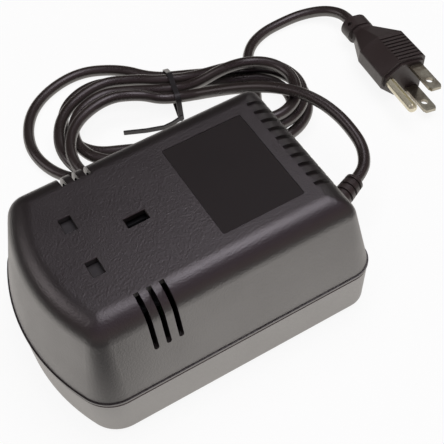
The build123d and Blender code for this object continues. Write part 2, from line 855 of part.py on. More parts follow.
# Socket carrier
carrier_length = carrier_right - carrier_left
carrier_center_x = (carrier_right + carrier_left) / 2
pin_places = [(pin_row_x, -pin_offset_y), (pin_row_x, pin_offset_y)]
pocket_x = contact_grip + 2 * contact_leaf + 2 * slide_gap
pocket_y = contact_width + 2 * slide_gap
earth_pocket_x = earth_contact_width + 2 * slide_gap
pocket_top = carrier_top - pocket_roof
channel_half = shutter_width / 2 + slide_gap
with BuildPart() as socket_carrier:
    with BuildSketch(Plane.XY.offset(carrier_bottom)):
        with Locations((carrier_center_x, 0)):
            RectangleRounded(carrier_length, carrier_width, carrier_rail)
    extrude(amount=carrier_top - carrier_bottom)

    # Side rails and end wall that guide the shutter
    with BuildSketch(Plane.XY.offset(carrier_top)):
        with Locations((carrier_center_x, 0)):
            RectangleRounded(carrier_length, carrier_width, carrier_rail)
        with Locations((channel_left, 0)):
            Rectangle(
                carrier_length, 2 * channel_half, align=(Align.MIN, Align.CENTER), mode=Mode.SUBTRACT
            )
    extrude(amount=rail_top - carrier_top)
    with BuildSketch(Plane.XY.offset(carrier_top)):
        with Locations(((spring_peg_left + spring_peg_right) / 2, 0)):
            Rectangle(spring_peg_right - spring_peg_left, 2 * spring_peg_half_width)
    extrude(amount=shutter_top - carrier_top)

    # Ears that screw to the upper case
    with BuildSketch(Plane.XY.offset(ear_bottom)):
        with Locations((ear_screw_x, 0)):
            Rectangle(ear_length, carrier_width + 2 * ear_reach)
            Rectangle(ear_length, carrier_width / 2, mode=Mode.SUBTRACT)
        with Locations((ear_screw_x, -ear_screw_y), (ear_screw_x, ear_screw_y)):
            Circle(carrier_screw_radius + screw_hole_gap, mode=Mode.SUBTRACT)
    extrude(amount=ear_thickness)

    # Contact pockets and pin apertures
    with BuildSketch(Plane.XY.offset(carrier_bottom)):
        with Locations(*pin_places):
            Rectangle(pocket_x, pocket_y)
        with Locations((earth_x, 0)):
            Rectangle(earth_pocket_x, pocket_x)
    extrude(amount=pocket_top - carrier_bottom, mode=Mode.SUBTRACT)
    with BuildSketch(Plane.XY.offset(pocket_top)):
        with Locations(*pin_places):
            Rectangle(pin_slot_x, pin_slot_y)
        with Locations((earth_x, 0)):
            Rectangle(earth_slot_x, earth_slot_y)
    extrude(amount=pocket_roof, mode=Mode.SUBTRACT)

    # Room for the shutter's ramp and its spring
    with BuildSketch(Plane.XY.offset(ramp_bottom - slide_gap)):
        with Locations((ramp_back_x - shutter_travel - slide_gap, 0)):
            Rectangle(
                ramp_end_x - ramp_back_x + shutter_travel + 2 * slide_gap,
                2 * (ramp_half_width + slide_gap),
                align=(Align.MIN, Align.CENTER),
            )
    extrude(amount=carrier_top - ramp_bottom + slide_gap, mode=Mode.SUBTRACT)
    spring_axis_z = (shutter_bottom + shutter_top) / 2
    with BuildSketch(Plane.XY.offset(spring_axis_z - spring_diameter / 2 - slide_gap)):
        with Locations((spring_peg_right, 0)):
            Rectangle(
                ramp_back_x - spring_peg_right,
                spring_diameter + 2 * slide_gap,
                align=(Align.MIN, Align.CENTER),
            )
    extrude(amount=carrier_top - spring_axis_z + spring_diameter / 2 + slide_gap, mode=Mode.SUBTRACT)
socket_carrier.part.label = "socket_carrier"
export_step(socket_carrier.part, "parts/socket_carrier.step")


def pin_contact(center_x, center_y, width, top, along_x):
    """A U-shaped spring clip with a solder tab; its leaves grip across X or across Y."""
    turn = 0 if along_x else 90
    with BuildPart() as contact:
        with BuildSketch(Plane.XY.offset(contact_bridge)):
            with Locations(Location((center_x, center_y), turn)):
                Rectangle(contact_grip + 2 * contact_leaf, width)
        extrude(amount=top - contact_bridge)
        with BuildSketch(Plane.XY.offset(contact_bridge + contact_leaf)):
            with Locations(Location((center_x, center_y), turn)):
                Rectangle(contact_grip, width)
        extrude(amount=top - contact_bridge, mode=Mode.SUBTRACT)
        with BuildSketch(Plane.XY.offset(contact_bridge)):
            with Locations(Location((center_x, center_y), turn)):
                Rectangle(contact_leaf, width / 2)
        extrude(amount=-contact_tab_length)
    return contact.part


live_contact = pin_contact(pin_row_x, -pin_offset_y, contact_width, contact_top, True)
live_contact.label = "live_contact"
export_step(live_contact, "parts/live_contact.step")

neutral_contact = pin_contact(pin_row_x, pin_offset_y, contact_width, contact_top, True)
neutral_contact.label = "neutral_contact"
export_step(neutral_contact, "parts/neutral_contact.step")

earth_contact = pin_contact(earth_x, 0, earth_contact_width, earth_contact_top, False)
earth_contact.label = "earth_contact"
export_step(earth_contact, "parts/earth_contact.step")

carrier_screws = screws(
    [(ear_screw_x, -ear_screw_y), (ear_screw_x, ear_screw_y)],
    ear_bottom,
    1,
    carrier_screw_radius,
    carrier_screw_length,
    carrier_screw_head_radius,
    carrier_screw_head_height,
)
carrier_screws.label = "carrier_screws"
export_step(carrier_screws, "parts/carrier_screws.step")

# Shutter: slides away from the earth pin, which pushes on its ramp
with BuildPart() as shutter:
    with BuildSketch(Plane.XY.offset(shutter_bottom)):
        with Locations((shutter_left, 0)):
            Rectangle(
                shutter_right - shutter_left, shutter_width, align=(Align.MIN, Align.CENTER)
            )
        with Locations((shutter_right, 0)):
            Rectangle(
                ramp_start_x - shutter_right, bridge_width, align=(Align.MIN, Align.CENTER)
            )
        with Locations((spring_peg_left - slide_gap, 0)):
            Rectangle(
                ramp_back_x - spring_peg_left + slide_gap,
                2 * spring_slot_half_width,
                align=(Align.MIN, Align.CENTER),
                mode=Mode.SUBTRACT,
            )
    extrude(amount=shutter_top - shutter_bottom)
    with BuildSketch(Plane.XZ.offset(-ramp_half_width)):
        with BuildLine():
            Polyline(
                (ramp_back_x, shutter_top),
                (ramp_start_x, shutter_top),
                (ramp_end_x, ramp_bottom + ramp_toe),
                (ramp_end_x, ramp_bottom),
                (ramp_back_x, ramp_bottom),
                close=True,
            )
        make_face()
    extrude(amount=2 * ramp_half_width)
shutter.part.label = "shutter"
export_step(shutter.part, "parts/shutter.step")

# Shutter return spring, between the carrier's peg and the shutter's bridge
spring_length = ramp_back_x - spring_peg_right - 2 * fit_gap
spring_coil_radius = (spring_diameter - spring_wire) / 2
spring_rise = spring_length - spring_wire
spring_start_x = spring_peg_right + fit_gap + spring_wire / 2
with BuildPart() as shutter_spring:
    with BuildLine() as spring_line:
        Helix(
            pitch=spring_rise / spring_curls,
            height=spring_rise,
            radius=spring_coil_radius,
            center=(spring_start_x, 0, spring_axis_z),
            direction=(1, 0, 0),
        )
    with BuildSketch(spring_line.line ^ 0):
        Circle(spring_wire / 2)
    sweep(path=spring_line.line, is_frenet=True)
shutter_spring.part.label = "shutter_spring"
export_step(shutter_spring.part, "parts/shutter_spring.step")

# Strain relief: a flanged neck held in the case wall and a ribbed boot bent with the lead
boot_direction = Vector(1, 0, 0).rotate(Axis.Z, boot_angle)
boot_bend = Vector(boot_bend_x, boot_y, boot_height)
boot_tip = boot_bend + boot_direction * boot_length
boot_plane = Plane(origin=boot_bend, x_dir=boot_direction, z_dir=(0, 0, 1))
with BuildPart() as strain_relief:
    with BuildSketch(Plane.YZ.offset(boot_inner_end)):
        with Locations((boot_y, boot_height)):
            Circle(boot_hole_radius - seat_gap / 2)
    extrude(amount=boot_bend_x - boot_inner_end)
    with BuildSketch(Plane.YZ.offset(flange_outer_x - boot_flange_thickness)):
        with Locations((boot_y, boot_height)):
            Circle(boot_flange_radius)
    extrude(amount=boot_flange_thickness)
    with BuildSketch(boot_plane):
        with BuildLine():
            Polyline(
                (0, 0),
                (0, boot_root_radius),
                (boot_length - boot_tip_bevel, boot_tip_radius),
                (boot_length, boot_tip_radius - boot_tip_bevel),
                (boot_length, 0),
                close=True,
            )
        make_face()
    revolve(axis=Axis(boot_bend, boot_direction))
    for rib in range(boot_rib_count):
        groove_start = boot_rib_start + rib * boot_rib_pitch
        share = (groove_start + boot_rib_width / 2) / boot_length
        outside = boot_root_radius + share * (boot_tip_radius - boot_root_radius)
        with BuildSketch(boot_plane):
            with Locations((groove_start, outside - boot_rib_depth)):
                Rectangle(boot_rib_width, 2 * boot_rib_depth, align=(Align.MIN, Align.MIN))
        revolve(axis=Axis(boot_bend, boot_direction), mode=Mode.SUBTRACT)
strain_relief.part.label = "strain_relief"
export_step(strain_relief.part, "parts/strain_relief.step")


def corner_radii(points):
    """The largest tangent arc that each corner's two runs allow, and its turn in degrees."""
    radii = []
    for before, corner, after in zip(points[:-2], points[1:-1], points[2:]):
        turn = (corner - before).get_angle(after - corner)
        shorter = min((corner - before).length, (after - corner).length)
        radii.append(arc_share * shorter / math.tan(math.radians(turn) / 2))
    return radii


def cord_tube(points, name):
    """A round cord along straight runs joined by tangent arcs."""
    radii = corner_radii(points)
    print(name, "bend radii", [round(radius, 1) for radius in radii])
    with BuildPart() as tube:
        with BuildLine() as route:
            FilletPolyline(*points, radius=radii)
        with BuildSketch(Plane(origin=points[0], z_dir=points[1] - points[0])):
            Circle(cord_diameter / 2)
        sweep(path=route.line)
    section = math.pi * cord_diameter**2 / 4
    length = route.wires()[0].length
    print(name, "length", round(length, 1), "volume share", round(tube.part.volume / length / section, 4))
    return tube.part


# Hank: a frame whose X runs along the hank and Y across it, away from the case
hank_frame = Plane(
    origin=(hank_center[0], hank_center[1], 0),
    x_dir=Vector(1, 0, 0).rotate(Axis.Z, hank_angle),
    z_dir=(0, 0, 1),
)
hank_along = hank_frame.x_dir


def hank_point(along, across, height):
    """A point given along and across the hank."""
    return hank_frame.from_local_coords(Vector(along, across, height))


def level_height(level):
    """Height of the cord's centre on one level of the pile."""
    return table_level + level * level_step


def arc_end_tangent(start_tangent, start, end):
    """Direction at the end of the arc that leaves start along start_tangent."""
    chord = (end - start).normalized()
    return chord * (2 * start_tangent.dot(chord)) - start_tangent


def sideways_bend(start, end, direction):
    """Two equal arcs from start to end, both ends along the same direction."""
    middle = (start + end) / 2
    TangentArc(start, middle, tangent=direction)
    TangentArc(middle, end, tangent=arc_end_tangent(direction, start, middle))


def straight_run(start, end):
    """A straight run, left out where it has no length."""
    if (end - start).length > 0.01:
        Line(start, end)


def tie_point(index):
    """Where one strand passes under the tie."""
    across, level = tie_strands[index]
    return hank_point(tie_station, across, level_height(level) + tie_lift)


hank_start = tie_point(0)
hank_end = hank_point(hank_exit[0], hank_exit[1], table_level)
with BuildLine() as hank_route:
    for turn, (reach, across, radius, level) in enumerate(left_turns):
        left_x = reach + radius
        left_z = level_height(level)
        far_left = hank_point(left_x, across + radius, left_z)
        near_left = hank_point(left_x, across - radius, left_z)
        sideways_bend(tie_point(turn), far_left, -hank_along)
        ThreePointArc(far_left, hank_point(reach, across, left_z), near_left)
        if turn == len(right_turns):
            sideways_bend(near_left, hank_end, hank_along)
            continue
        right_reach, right_across, right_radius, right_level = right_turns[turn]
        right_x = right_reach - right_radius
        right_z = level_height(right_level)
        run_start = hank_point(left_station, across - radius, left_z)
        run_end = hank_point(right_station, right_across - right_radius, right_z)
        near_right = hank_point(right_x, right_across - right_radius, right_z)
        far_right = hank_point(right_x, right_across + right_radius, right_z)
        straight_run(near_left, run_start)
        sideways_bend(run_start, run_end, hank_along)
        straight_run(run_end, near_right)
        ThreePointArc(near_right, hank_point(right_reach, right_across, right_z), far_right)
        sideways_bend(far_right, tie_point(turn + 1), -hank_along)

with BuildPart() as lead_hank:
    with BuildSketch(Plane(origin=hank_start, z_dir=-hank_along)):
        Circle(cord_diameter / 2)
    sweep(path=hank_route.wires()[0])
lead_hank.part.label = "lead_hank"
export_step(lead_hank.part, "parts/lead_hank.step")

hank_wire = hank_route.wires()[0]
hank_section = math.pi * cord_diameter**2 / 4
hank_share = lead_hank.part.volume / hank_wire.length / hank_section
print("lead_hank length", round(hank_wire.length, 1), "volume share", round(hank_share, 4))


def least_own_gap(wire, diameter):
    """Least surface gap between stretches of a wire that are some diameters apart along it."""
    count = int(wire.length / gap_spacing)
    points = [wire.position_at(index / count) for index in range(count + 1)]
    skip = int(gap_skip * diameter / gap_spacing)
    least = wire.length
    for first in range(len(points)):
        for second in range(first + skip, len(points)):
            least = min(least, (points[first] - points[second]).length)
    return least - diameter


print("lead_hank least gap to itself", round(least_own_gap(hank_wire, cord_diameter), 2))

# Lead from the boot to the tie
lead_points = [boot_tip, boot_tip + boot_direction * lead_first_run]
lead_points += [hank_frame.origin + Vector(*point) for point in lead_route]
lead_points.append(hank_start + hank_along * lead_last_run + Vector(0, 0, lead_last_drop))
lead_points.append(hank_start)
mains_lead = cord_tube(lead_points, "mains_lead")
mains_lead.label = "mains_lead"
export_step(mains_lead, "parts/mains_lead.step")

# Plug frame: X towards the pins, Z up, Y away from the earth pin
plug_axis = Vector(1, 0, 0).rotate(Axis.Y, -plug_pitch).rotate(Axis.Z, plug_yaw)
plug_up = Vector(0, 0, 1).rotate(Axis.X, plug_roll).rotate(Axis.Y, -plug_pitch)
plug_up = plug_up.rotate(Axis.Z, plug_yaw)
plug_nose = hank_frame.origin + Vector(*plug_nose_offset)
plug_frame = Plane(origin=plug_nose, x_dir=plug_axis, z_dir=plug_up)


def plug_section(back, side=0, up=0):
    """A plane across the plug, a distance back from the nose, with X to its side."""
    origin = plug_frame.from_local_coords(Vector(-back, side, up))
    return Plane(origin=origin, x_dir=plug_frame.y_dir, z_dir=plug_frame.x_dir)


def plug_outline(flat_side, slope_side, earth_side, earth_half_height, height, inset):
    """The plug's six-sided outline with rounded corners, drawn in by an inset."""
    half = height / 2
    with BuildSketch() as outline:
        Polygon(
            (flat_side, half),
            (slope_side, half),
            (earth_side, earth_half_height),
            (earth_side, -earth_half_height),
            (slope_side, -half),
            (flat_side, -half),
            align=None,
        )
        fillet(outline.vertices(), radius=plug_corner)
        if inset:
            offset(amount=-inset, kind=Kind.ARC)
    return outline.sketch


plug_tail_end = plug_frame.from_local_coords(Vector(-plug_collar_back, plug_center_side, 0))

# Lead from the hank to the plug
tail_points = [hank_end, hank_end + hank_along * tail_first_run]
tail_points += [hank_frame.origin + Vector(*point) for point in tail_route]
tail_points += [plug_tail_end - plug_axis * tail_last_run, plug_tail_end]
lead_tail = cord_tube(tail_points, "lead_tail")
lead_tail.label = "lead_tail"
export_step(lead_tail, "parts/lead_tail.step")

# Twist tie: a slanted band round the strands, drawn down to a twist, and its tail on the table
tie_across = hank_frame.y_dir.rotate(Axis.Z, tie_slant)
tie_along = hank_along.rotate(Axis.Z, tie_slant)
tie_plane = Plane(
    origin=hank_point(tie_station, tie_pivot, 0) - tie_along * tie_width / 2,
    x_dir=tie_across,
    z_dir=tie_along,
)
slant_share = math.cos(math.radians(tie_slant))
strand_places = [
    (tie_spread * (across - tie_pivot) / slant_share, tie_point(index).Z)
    for index, (across, _) in enumerate(tie_strands)
]
entry_across, entry_level = strand_places[0]
strand_places.append((entry_across, entry_level + tie_entry_rise))
twist_reach = (tie_twist_across - tie_pivot) / slant_share
twist_point = hank_point(tie_station, tie_pivot, 0) + tie_across * twist_reach
twist_place = (twist_reach, tie_twist_radius + fit_gap)
with BuildSketch() as tie_inside:
    with Locations(*strand_places):
        Circle(cord_diameter / 2 + tie_gap)
    with Locations(twist_place):
        Circle(tie_twist_radius - tie_band)
    make_hull(mode=Mode.REPLACE)
with BuildPart() as hank_tie:
    with BuildSketch(tie_plane):
        with Locations(*strand_places):
            Circle(cord_diameter / 2 + tie_gap + tie_band)
        with Locations(twist_place):
            Circle(tie_twist_radius)
        make_hull(mode=Mode.REPLACE)
        add(tie_inside.sketch, mode=Mode.SUBTRACT)
    extrude(amount=tie_width)
    with BuildSketch(Plane.XY.offset(fit_gap)):
        with Locations((twist_point.X, twist_point.Y)):
            Circle(tie_twist_radius)
    extrude(amount=tie_twist_height)
    with BuildSketch(Plane.XY.offset(fit_gap)):
        with BuildLine():
            tail_line = [twist_point]
            tail_line += [hank_point(along, across, 0) for along, across in tie_tail_route]
            Polyline(*[(point.X, point.Y) for point in tail_line])
            offset(amount=tie_tail_thickness / 2, kind=Kind.INTERSECTION)
        make_face()
    extrude(amount=tie_tail_height)
hank_tie.part.label = "hank_tie"
export_step(hank_tie.part, "parts/hank_tie.step")

# Plug body
face_size = (plug_flat_side, plug_slope_side, plug_earth_side, plug_earth_half_height)
face_outline = plug_outline(*face_size, plug_face_height, 0)
plateau_outline = plug_outline(*face_size, plug_face_height, plug_plateau_inset)
shoulder_outline = plug_outline(*face_size, plug_shoulder_height, 0)
throat_outline = plug_outline(
    plug_throat_side,
    plug_throat_slope_side,
    plug_throat_earth_side,
    plug_throat_half_height,
    plug_throat_height,
    0,
)
with BuildPart() as plug_body:
    with BuildSketch(plug_section(plug_plateau, 0, plug_face_lift)):
        add(face_outline)
    with BuildSketch(plug_section(plug_shoulder_back, 0, plug_shoulder_lift)):
        add(shoulder_outline)
    loft(ruled=True)
    with BuildSketch(plug_section(plug_shoulder_back, 0, plug_shoulder_lift)):
        add(shoulder_outline)
    with BuildSketch(plug_section(plug_throat_back)):
        add(throat_outline)
    loft(ruled=True)
    with BuildSketch(plug_section(plug_neck_back)):
        add(throat_outline)
    extrude(amount=plug_neck_back - plug_throat_back)
    with BuildSketch(plug_section(plug_collar_back, plug_center_side)):
        SlotOverall(plug_collar_width, plug_collar_height)
    extrude(amount=plug_collar_back - plug_neck_back)

    # Raised face round the pins
    with BuildSketch(plug_section(plug_plateau, 0, plug_face_lift)):
        add(plateau_outline)
    extrude(amount=plug_plateau)

    # Grip grooves across the top and the underside
    for groove in range(plug_rib_count):
        back = plug_rib_start + groove * plug_rib_pitch
        share = (back - plug_plateau) / (plug_shoulder_back - plug_plateau)
        half_height = plug_face_height / 2
        half_height += share * (plug_shoulder_height - plug_face_height) / 2
        lift = plug_face_lift + share * (plug_shoulder_lift - plug_face_lift)
        for side in (-1, 1):
            with BuildSketch(plug_section(back, 0, lift)):
                with Locations((plug_flat_side, side * half_height)):
                    Rectangle(
                        plug_flat_side - plug_slope_side,
                        2 * plug_rib_depth,
                        align=(Align.MAX, Align.CENTER),
                    )
            extrude(amount=plug_rib_groove, mode=Mode.SUBTRACT)

    # Moulding eye in the collar, and slots for the blades and the earth pin
    eye_plane = Plane(
        origin=plug_frame.from_local_coords(Vector(-plug_eye_back, plug_eye_side, 0)),
        x_dir=plug_frame.x_dir,
        z_dir=plug_frame.z_dir,
    )
    with BuildSketch(eye_plane):
        Circle(plug_eye_radius)
    extrude(amount=plug_collar_height, both=True, mode=Mode.SUBTRACT)
    with BuildSketch(plug_section(blade_root + fit_gap)):
        with Locations((0, -blade_spacing / 2), (0, blade_spacing / 2)):
            Rectangle(blade_width + 2 * fit_gap, blade_thickness + 2 * fit_gap)
        with Locations((-ground_offset, 0)):
            Circle(ground_root_radius + fit_gap)
    extrude(amount=2 * blade_root, mode=Mode.SUBTRACT)
plug_body.part.label = "plug_body"
export_step(plug_body.part, "parts/plug_body.step")


def flat_blade(up):
    """A flat pin with a hole and a tapered tip."""
    with BuildPart() as blade:
        with BuildSketch(plug_section(blade_root, 0, up)):
            Rectangle(blade_width, blade_thickness)
        extrude(amount=blade_root + blade_length)
        tip = blade.faces().sort_by(Axis(plug_nose, plug_axis))[-1]
        chamfer(
            tip.edges().filter_by(Axis(plug_nose, plug_up)),
            length=blade_tip_taper,
            length2=blade_tip_taper / 2,
        )
        hole_plane = Plane(
            origin=plug_frame.from_local_coords(Vector(blade_hole_distance, 0, up)),
            x_dir=plug_frame.x_dir,
            z_dir=plug_frame.z_dir,
        )
        with BuildSketch(hole_plane):
            Circle(blade_hole_radius)
        extrude(amount=blade_thickness, both=True, mode=Mode.SUBTRACT)
    return blade.part


line_blade = flat_blade(blade_spacing / 2)
line_blade.label = "line_blade"
export_step(line_blade, "parts/line_blade.step")

neutral_blade = flat_blade(-blade_spacing / 2)
neutral_blade.label = "neutral_blade"
export_step(neutral_blade, "parts/neutral_blade.step")

# Earth pin: a rolled pin with a seam along its top and a round nose
with BuildPart() as ground_pin:
    with BuildSketch(plug_section(blade_root, -ground_offset)):
        Circle(ground_root_radius)
    extrude(amount=blade_root + 2 * ground_radius)
    with BuildSketch(plug_section(-fit_gap, -ground_offset)):
        Circle(ground_radius)
    extrude(amount=ground_length - fit_gap)
    tip = ground_pin.faces().sort_by(Axis(plug_nose, plug_axis))[-1]
    fillet(tip.edges(), radius=ground_tip_share * ground_radius)
    with BuildSketch(plug_section(-fit_gap, -ground_offset)):
        with Locations((0, ground_radius)):
            Rectangle(ground_groove_width, 2 * ground_groove_depth)
    extrude(amount=ground_length, mode=Mode.SUBTRACT)
ground_pin.part.label = "ground_pin"
export_step(ground_pin.part, "parts/ground_pin.step")


def wire(points, name):
    """An insulated wire along straight runs with round bends."""
    with BuildPart() as strand:
        with BuildLine() as route:
            FilletPolyline(*points, radius=wire_bend)
        with BuildSketch(Plane(origin=points[0], z_dir=Vector(*points[1]) - Vector(*points[0]))):
            Circle(wire_radius)
        sweep(path=route.line)
    strand.part.label = name
    export_step(strand.part, "parts/" + name + ".step")


# Internal wires
wire_start_x = boot_inner_end - fit_gap
drop_x = boot_inner_end - supply_wire_room
tag_face_x = input_tag_x + tag_thickness / 2 + fit_gap
entry_height = boot_height + supply_wire_lift
earth_height = boot_height - earth_wire_drop
for name, y in (("input_line_wire", input_tag_y[0]), ("input_neutral_wire", input_tag_y[1])):
    wire(
        [
            (wire_start_x, y, entry_height),
            (drop_x, y, entry_height),
            (drop_x, y, wire_run_height),
            (tag_face_x, y, wire_run_height),
        ],
        name,
    )

tab_end = contact_bridge - contact_tab_length - fit_gap
output_face_x = output_tag_x - tag_thickness / 2 - fit_gap
gap_x = (carrier_right + core_center_x - bobbin_reach_x) / 2
under_carrier = carrier_bottom - socket_wire_drop
output_ends = (
    ("output_live_wire", output_tag_y[0], -pin_offset_y),
    ("output_neutral_wire", output_tag_y[1], pin_offset_y),
)
for name, start_y, end_y in output_ends:
    wire(
        [
            (output_face_x, start_y, wire_run_height),
            (gap_x, start_y, wire_run_height),
            (gap_x, start_y, under_carrier),
            (pin_row_x, end_y, under_carrier),
            (pin_row_x, end_y, tab_end),
        ],
        name,
    )

post_pass_x = lead_end_screw[0] + lower_post_radius + post_room_along
post_pass_y = lower_post_radius + post_room_across - lead_end_screw[1]
wire(
    [
        (wire_start_x, boot_y, earth_height),
        (drop_x, boot_y, earth_height),
        (drop_x, boot_y, wire_floor_height),
        (post_pass_x, post_pass_y, wire_floor_height),
        (post_pass_x, wire_wall_y, wire_floor_height),
        (earth_x, wire_wall_y, wire_floor_height),
        (earth_x, 0, wire_floor_height),
        (earth_x, 0, tab_end),
    ],
    "earth_wire",
)
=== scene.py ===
import math

import bpy
from mathutils import Matrix, Vector


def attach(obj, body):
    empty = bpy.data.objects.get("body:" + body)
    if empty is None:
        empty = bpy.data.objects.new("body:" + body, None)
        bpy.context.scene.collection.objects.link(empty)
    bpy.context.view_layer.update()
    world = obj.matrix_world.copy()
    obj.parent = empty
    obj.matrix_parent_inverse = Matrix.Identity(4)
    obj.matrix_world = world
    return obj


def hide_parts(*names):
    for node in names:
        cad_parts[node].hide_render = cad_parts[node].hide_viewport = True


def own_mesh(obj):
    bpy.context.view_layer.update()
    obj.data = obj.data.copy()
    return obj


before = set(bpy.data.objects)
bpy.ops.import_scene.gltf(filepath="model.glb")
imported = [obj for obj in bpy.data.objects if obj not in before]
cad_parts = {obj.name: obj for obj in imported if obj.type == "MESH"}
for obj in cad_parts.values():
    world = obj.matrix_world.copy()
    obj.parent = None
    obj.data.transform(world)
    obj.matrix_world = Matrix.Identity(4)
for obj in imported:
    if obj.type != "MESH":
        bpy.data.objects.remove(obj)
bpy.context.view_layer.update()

MM = 0.001
CASE = "case"


def add_object(name, data):
    """A new object with the given data, linked to the scene."""
    made = bpy.data.objects.new(name, data)
    bpy.context.scene.collection.objects.link(made)
    return made


# Camera at the photograph's viewing angle
CAMERA_RIGHT = Vector((0.85923738, -0.50942247, -0.04690275))
CAMERA_UP = Vector((0.43209072, 0.67359353, 0.59964103))
CAMERA_BACK = Vector((-0.27387723, -0.53550023, 0.79889346))
CAMERA_PLACE = Vector((-0.091777, -0.220458, 0.364137))
LENS_MM = 86.04
SENSOR_MM = 36.0
CLIP_NEAR = 0.01
CLIP_FAR = 20.0

camera_data = bpy.data.cameras.new("camera")
camera_data.lens = LENS_MM
camera_data.sensor_width = SENSOR_MM
camera_data.clip_start = CLIP_NEAR
camera_data.clip_end = CLIP_FAR
camera = add_object("camera", camera_data)
camera_rows = zip(CAMERA_RIGHT, CAMERA_UP, CAMERA_BACK, CAMERA_PLACE)
camera.matrix_world = Matrix((*camera_rows, (0, 0, 0, 1)))
bpy.context.scene.camera = camera

# Route of the lead, in millimetres, as in the part's source
CORD_DIAMETER = 5.2
BOOT_ROOT = Vector((67.6, -10.0, 24.0))
BOOT_ANGLE = math.radians(24)
BOOT_LENGTH = 15.8
BOOT_DIRECTION = Vector((math.cos(BOOT_ANGLE), math.sin(BOOT_ANGLE), 0))
BOOT_TIP = BOOT_ROOT + BOOT_DIRECTION * BOOT_LENGTH
LEAD_ROUTE = [
    (91.4, 3.2, 24.5),
    (94.4, 9.9, 25.3),
    (95.0, 18.3, 26.5),
    (94.4, 27.4, 27.7),
    (92.0, 37.7, 28.4),
    (87.0, 48.7, 28.1),
    (79.4, 59.6, 25.7),
    (70.3, 70.6, 20.5),
    (61.6, 80.6, 14.2),
]
TAIL_ROUTE = [
    (65.7, 61.4, 2.7),
    (76.2, 66.6, 2.7),
    (83.6, 76.4, 2.7),
    (87.7, 88.2, 2.7),
    (91.5, 98.6, 2.7),
    (98.6, 106.6, 2.7),
    (108.3, 110.9, 2.7),
    (118.7, 111.7, 2.8),
    (129.0, 110.8, 3.6),
    (138.1, 106.8, 5.0),
    (143.2, 101.2, 6.5),
]
# Straight runs at the boot, before the tie, after the hank and before the plug
BOOT_RUN = 5.5
TIE_RUN = 9.5
TIE_RUN_RISE = 0.9
HANK_RUN = 12.0
PLUG_RUN = 7.6

# Hank of the lead: a local frame with X along it, and levels one step apart
HANK_ANGLE = math.radians(-25)
HANK_CENTER = (42.0, 84.0)
TABLE_LEVEL = 2.7
LEVEL_STEP = 5.9
TIE_STATION = 2.0
TIE_LIFT = 0.9
LEFT_STATION = -18.0
RIGHT_STATION = 38.0
HANK_EXIT = (8.0, -15.0)
TURN_STEP = 45.0
TURN_POINTS = 4
BEND_SHARE = 0.25
# Each turn's outer end along the hank, its centre across it, its radius and its level
LEFT_TURNS = [
    (-45.0, -19.0, 27.0, 2),
    (-44.3, -4.5, 21.0, 1),
    (-51.0, -6.7, 30.3, 1),
    (-66.0, 3.5, 34.5, 0),
    (-50.0, 7.3, 21.5, 0),
]
RIGHT_TURNS = [
    (57.0, -3.0, 18.2, 3),
    (60.5, -0.5, 20.5, 2),
    (62.5, -1.0, 23.0, 1),
    (55.5, -1.0, 17.2, 1),
]
# Each strand's place across the hank under the tie, and its level
TIE_STRANDS = [(8.0, 1), (14.1, 1), (20.2, 1), (28.0, 0), (21.6, 0)]


def hank_point(along, across, height):
    """A point given along and across the hank, in millimetres."""
    c, s = math.cos(HANK_ANGLE), math.sin(HANK_ANGLE)
    x = HANK_CENTER[0] + along * c - across * s
    y = HANK_CENTER[1] + along * s + across * c
    return Vector((x, y, height))


def level_height(level):
    """Height of a strand's centre on a level, in millimetres."""
    return TABLE_LEVEL + level * LEVEL_STEP


def s_bend(x0, y0, z0, x1, y1, z1):
    """Two control points that lead from one straight run over to another."""
    return [
        hank_point(x0 + (x1 - x0) * BEND_SHARE, y0, z0),
        hank_point(x1 - (x1 - x0) * BEND_SHARE, y1, z1),
    ]


def half_turn(x, y, radius, height, start):
    """Control points round half a turn, starting at an angle in degrees."""
    reach = radius / math.cos(math.radians(TURN_STEP / 2))
    found = []
    for k in range(TURN_POINTS):
        a = math.radians(start + TURN_STEP * (k + 0.5))
        found.append(hank_point(x + reach * math.cos(a), y + reach * math.sin(a), height))
    return found


def hank_points():
    """Control points of the whole hank, from the lead's end to the plug's end."""
    points = []
    for turn, (left_end, left_y, left_radius, left_level) in enumerate(LEFT_TURNS):
        tie_y, tie_level = TIE_STRANDS[turn]
        tie_z = level_height(tie_level) + TIE_LIFT
        left_x, left_z = left_end + left_radius, level_height(left_level)
        points += s_bend(TIE_STATION, tie_y, tie_z, left_x, left_y + left_radius, left_z)
        points += half_turn(left_x, left_y, left_radius, left_z, 90)
        near_y = left_y - left_radius
        if turn == len(RIGHT_TURNS):
            points += s_bend(left_x, near_y, left_z, *HANK_EXIT, TABLE_LEVEL)
            continue
        right_end, right_y, right_radius, right_level = RIGHT_TURNS[turn]
        right_x, right_z = right_end - right_radius, level_height(right_level)
        right_near_y, right_far_y = right_y - right_radius, right_y + right_radius
        points += s_bend(LEFT_STATION, near_y, left_z, RIGHT_STATION, right_near_y, right_z)
        points += half_turn(right_x, right_y, right_radius, right_z, -90)
        next_y, next_level = TIE_STRANDS[turn + 1]
        next_z = level_height(next_level) + TIE_LIFT
        points += s_bend(right_x, right_far_y, right_z, TIE_STATION, next_y, next_z)
    return points


# Plug frame: nose between the blades, X towards the pins, Y away from the earth pin
PLUG_NOSE = Vector((146.19, 41.17, 10.27))
PLUG_YAW, PLUG_PITCH, PLUG_ROLL = (math.radians(a) for a in (-95.64, 3.72, -7.27))
PLUG_CORD_END = (-45.0, -5.8, 0.0)
BLADE_LENGTH = 18.0
plug_turn = (
    Matrix.Rotation(PLUG_YAW, 3, "Z")
    @ Matrix.Rotation(-PLUG_PITCH, 3, "Y")
    @ Matrix.Rotation(PLUG_ROLL, 3, "X")
)
PLUG_AXIS, PLUG_SIDE, PLUG_UP = (plug_turn @ Vector(v) for v in ((1, 0, 0), (0, 1, 0), (0, 0, 1)))


